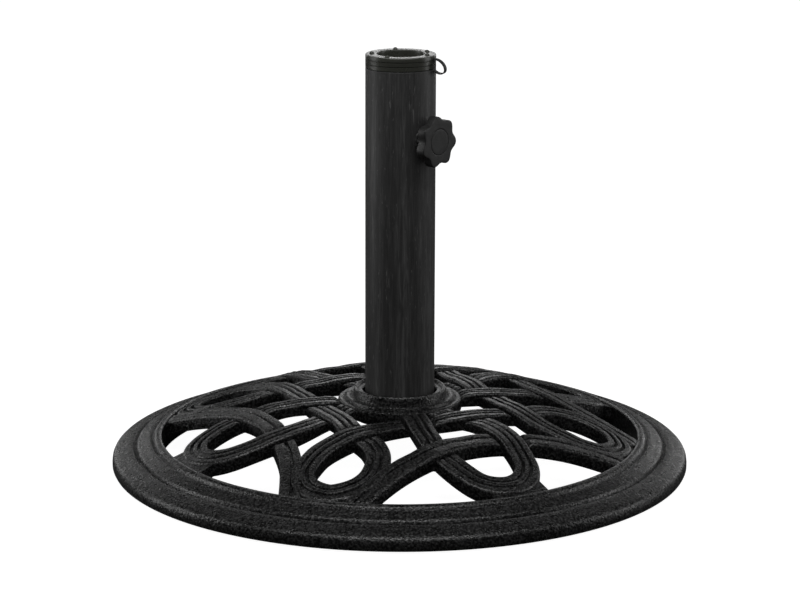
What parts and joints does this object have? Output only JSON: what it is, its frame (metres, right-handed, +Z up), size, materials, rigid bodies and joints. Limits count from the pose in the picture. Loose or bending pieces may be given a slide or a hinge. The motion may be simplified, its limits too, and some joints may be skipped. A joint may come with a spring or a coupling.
{
  "type": "parasol base",
  "caption": "Round openwork cast-iron parasol base with a steel column, a star clamp knob and a lift-out pole insert.",
  "frame": {"origin": "on the floor, below the middle of the column", "axes": "+Z up along the column; -Y is the side seen first, and the clamp knob points between +X and -Y"},
  "size_m": [0.45, 0.45, 0.3259],
  "materials": {
    "cast_iron": "rough black powder coat",
    "tube_paint": "dark satin paint with upright streaks",
    "steel_dark": "dark",
    "zinc": "zinc plated",
    "insert_plastic": "glossy",
    "strap_plastic": "satin",
    "knob_plastic": "satin",
    "pad_plastic": "matte",
    "rubber": "matte"
  },
  "bodies": {
    "base": {"base_casting": "cast_iron", "rubber_foot_1": "rubber", "rubber_foot_2": "rubber", "rubber_foot_3": "rubber", "rubber_foot_4": "rubber", "rubber_foot_5": "rubber", "rubber_foot_6": "rubber", "column_tube": "tube_paint", "column_foot_plate": "steel_dark", "foot_nut": "zinc", "flat_washer": "zinc", "spring_washer": "zinc", "base_bolt": "zinc", "clamp_boss": "tube_paint"},
    "insert": {"pole_insert": "insert_plastic", "pull_loop": "strap_plastic"},
    "screw_pad": {"pressure_pad": "pad_plastic"},
    "knob": {"clamp_knob": "knob_plastic", "knob_cap": "knob_plastic", "clamp_screw": "zinc"}
  },
  "joints": [
    {"name": "insert_lift", "type": "slide", "parent": "base", "child": "insert", "axis": [0, 0, 1], "range_m": [0, 0.06]},
    {"name": "screw_travel", "type": "slide", "parent": "base", "child": "screw_pad", "axis": [0.7547, -0.6561, 0], "range_m": [-0.0018, 0.006]},
    {"name": "knob_turn", "type": "hinge", "parent": "screw_pad", "child": "knob", "pos_m": [0.02868, -0.02493, 0.2604], "axis": [0.7547, -0.6561, 0], "range_deg": [-430, 1438]}
  ],
  "couplings": [
    {"joint": "screw_travel", "follows": "knob_turn", "m_per_rad": 0.00023873}
  ]
}
